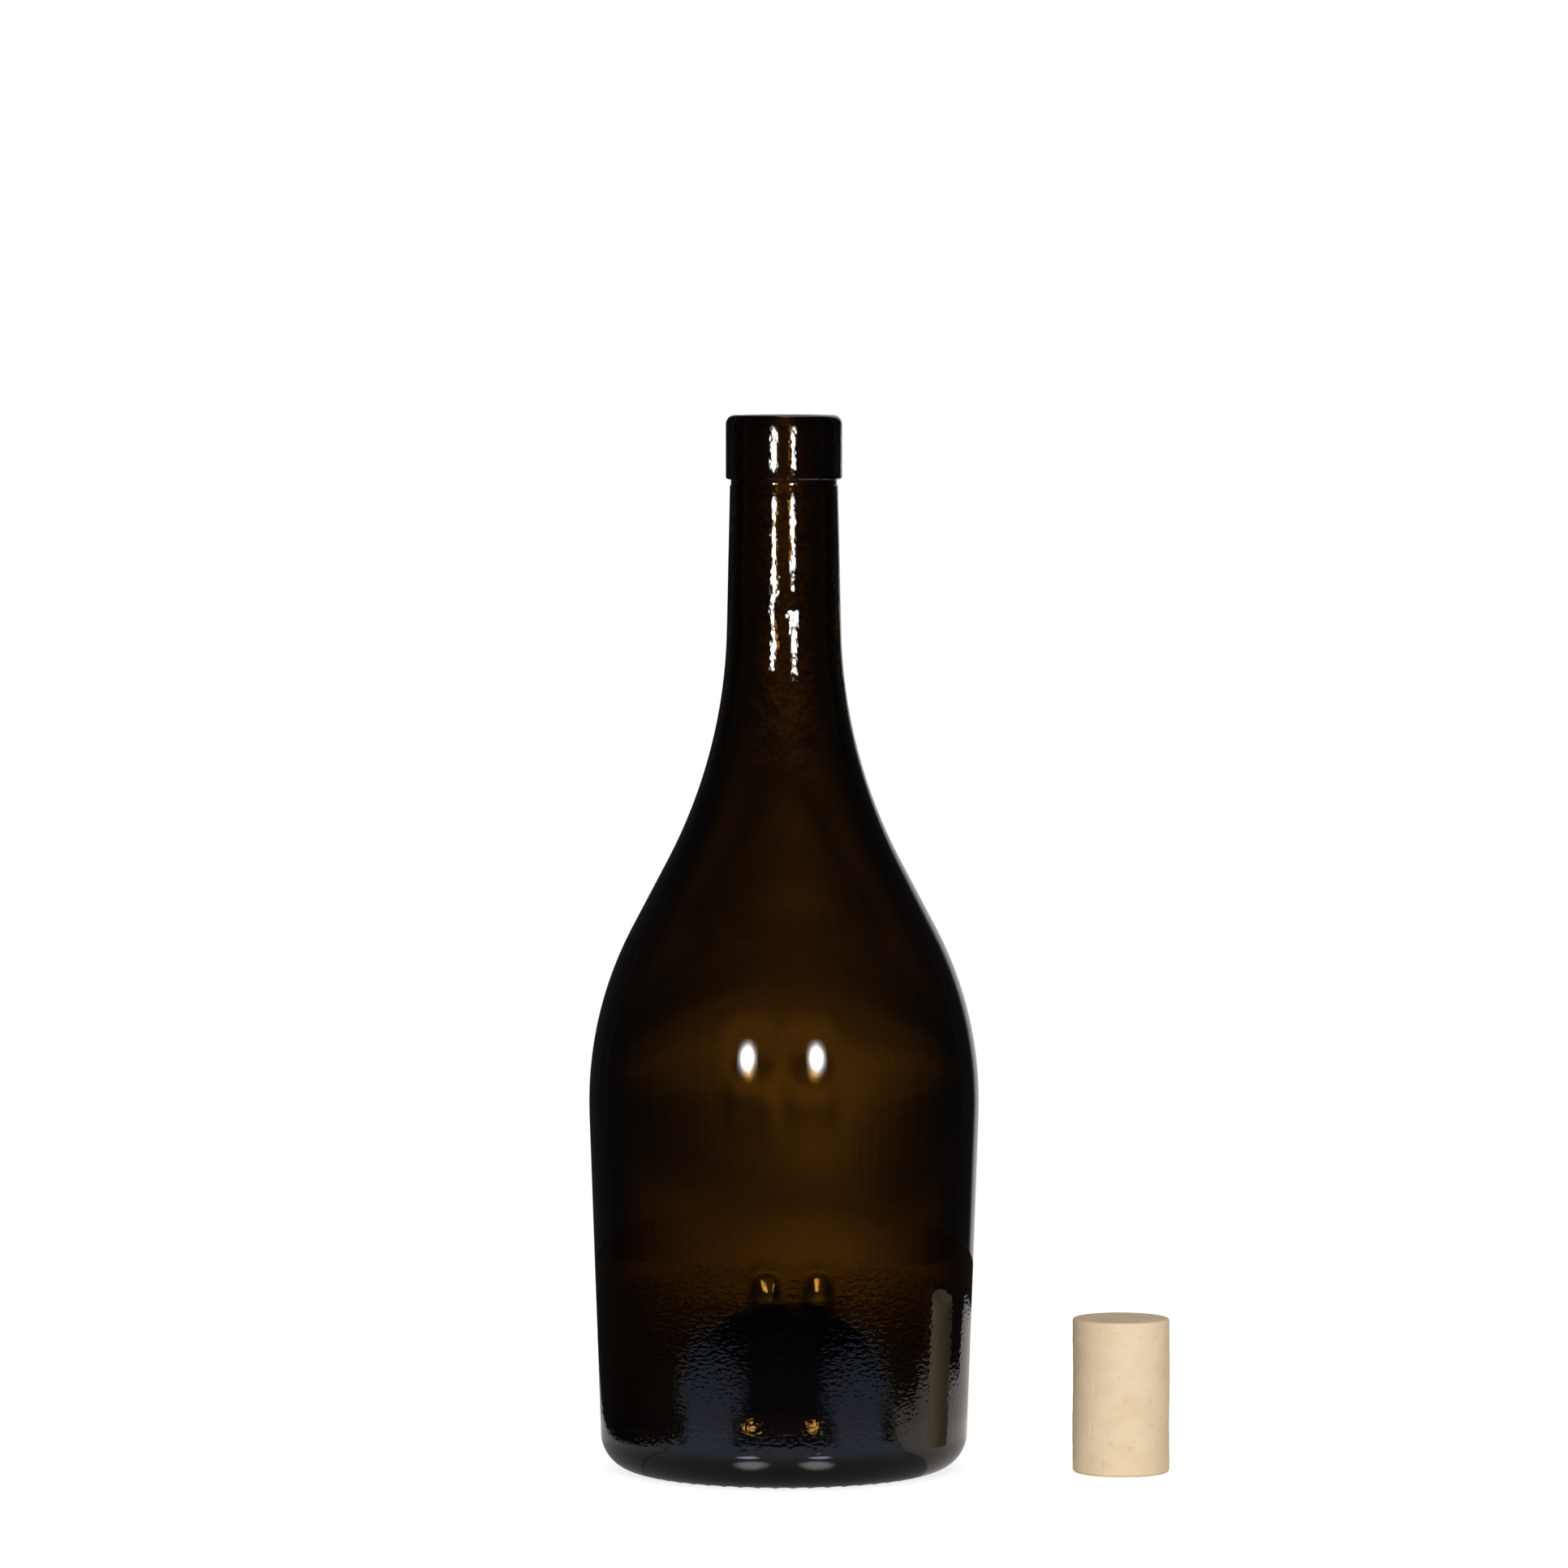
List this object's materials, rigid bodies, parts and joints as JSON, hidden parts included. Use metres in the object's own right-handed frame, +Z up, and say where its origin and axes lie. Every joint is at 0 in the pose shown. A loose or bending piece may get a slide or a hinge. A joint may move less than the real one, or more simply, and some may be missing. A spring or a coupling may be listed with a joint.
{
  "type": "wine bottle",
  "caption": "Squat dark glass wine bottle, empty and open, with a flat band at the mouth, a deep punt and a knurled foot; its natural cork stands beside it.",
  "frame": {"origin": "on the bottle's axis, in the plane that the bottle stands on, at the middle of its foot ring", "axes": "+Z up along the bottle's axis, towards the mouth; +X from the bottle towards the cork; -Y towards the viewer"},
  "size_m": [0.1431, 0.096, 0.26],
  "materials": {
    "dark_glass": "polished, dark amber brown",
    "natural_cork": "raw natural cork"
  },
  "bodies": {
    "root": {"bottle": "dark_glass", "cork": "natural_cork"}
  },
  "joints": []
}
